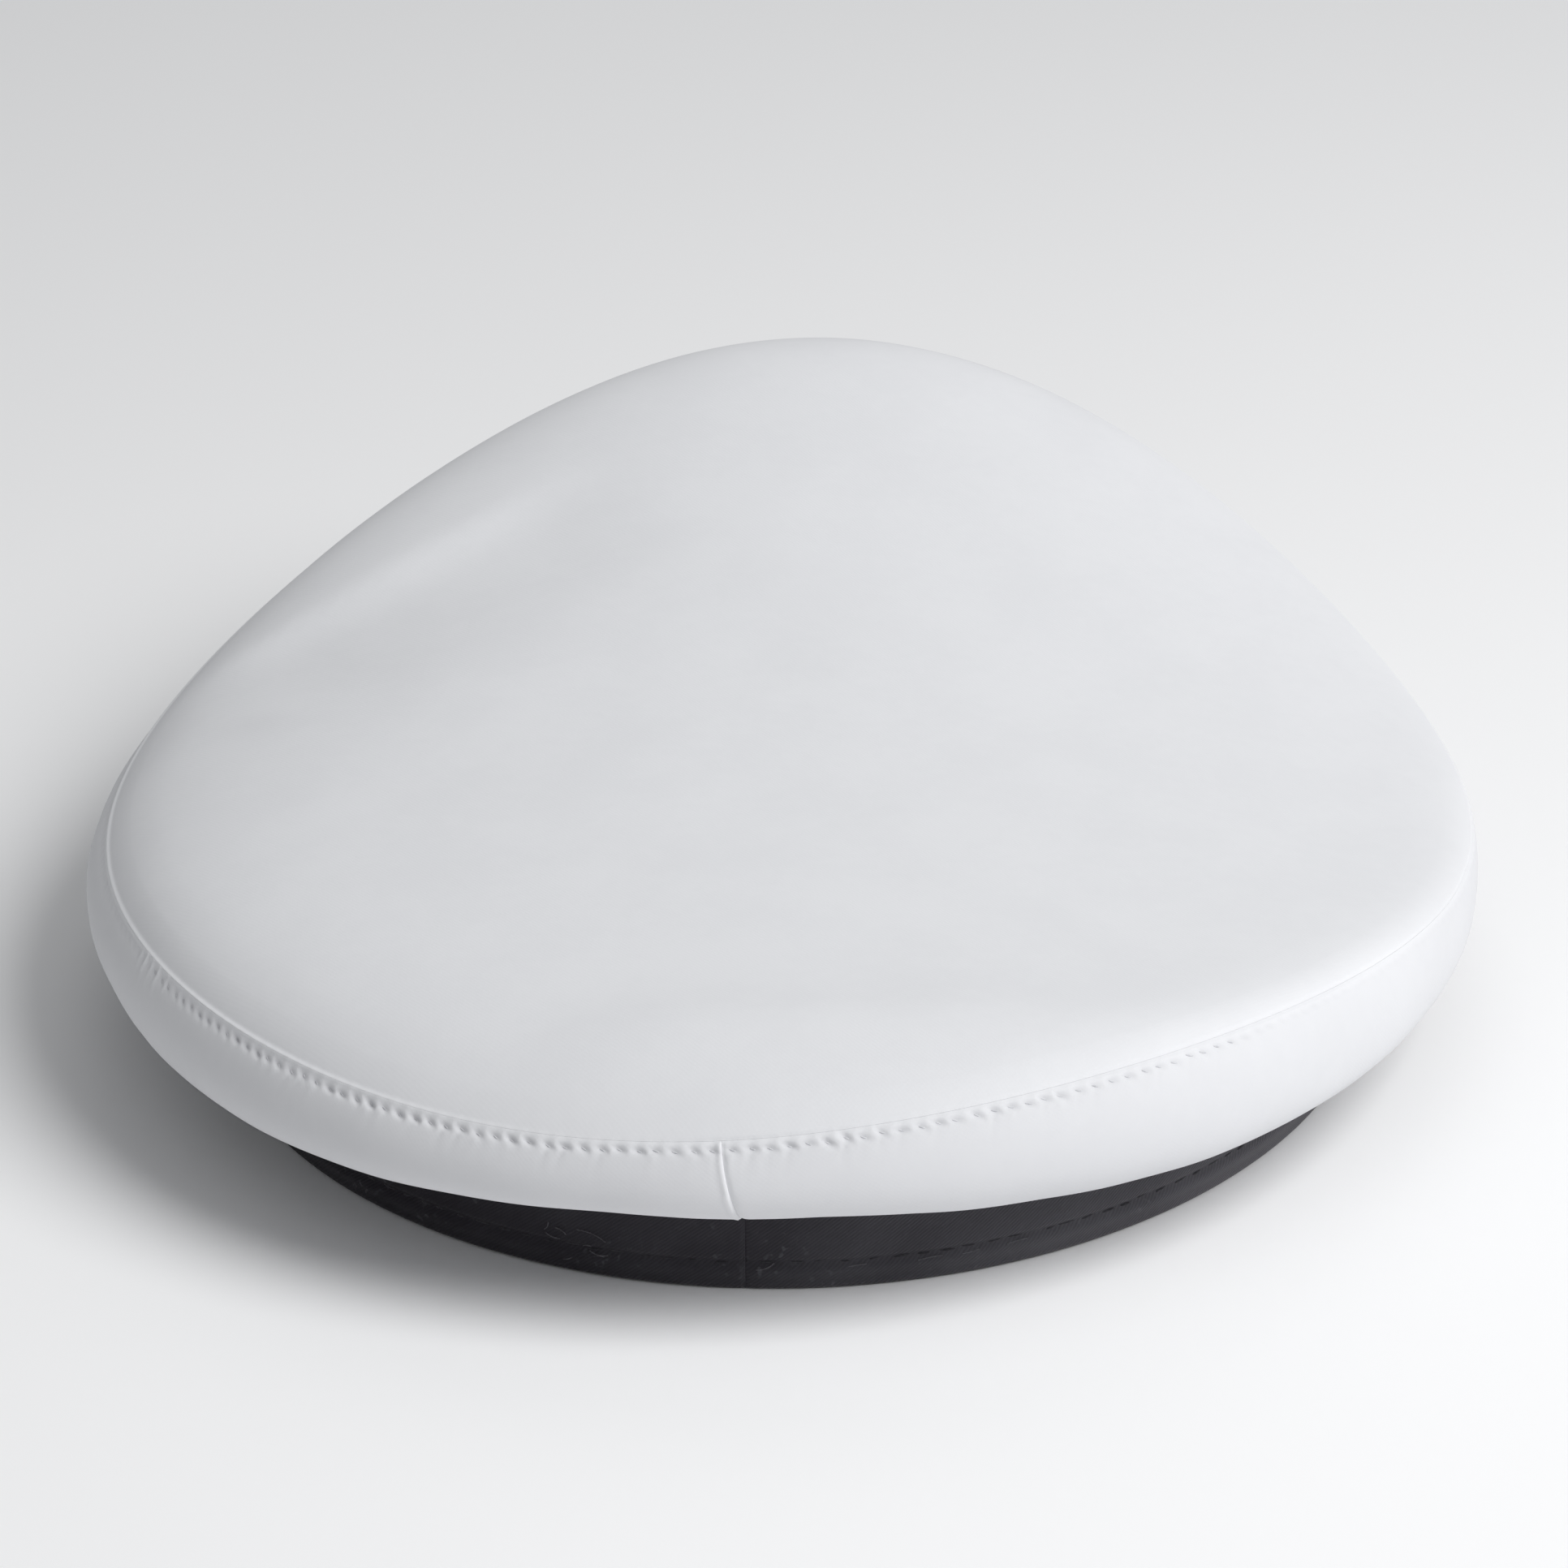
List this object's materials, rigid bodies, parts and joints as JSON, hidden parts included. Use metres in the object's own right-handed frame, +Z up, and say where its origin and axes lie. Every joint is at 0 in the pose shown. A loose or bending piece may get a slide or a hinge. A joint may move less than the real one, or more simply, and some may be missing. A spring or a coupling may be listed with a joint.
{
  "type": "fatigue cap",
  "caption": "Soft white-topped fatigue cap with no peak: an oval top raised at the front, a rolled side that overhangs, and a narrow dark band round an open head hollow.",
  "frame": {"origin": "on the surface the cap rests on, below the middle of the whole cap, which is the middle of the band's oval to within 1.5 mm", "axes": "+Z up, +Y towards the back of the cap, +X towards the wearer's left"},
  "size_m": [0.2051, 0.2382, 0.0615],
  "materials": {
    "crown_cloth": "matte white cotton cloth",
    "band_cloth": "matte charcoal twill"
  },
  "bodies": {
    "root": {"crown_top": "crown_cloth", "crown_side": "crown_cloth", "band": "band_cloth"}
  },
  "joints": []
}
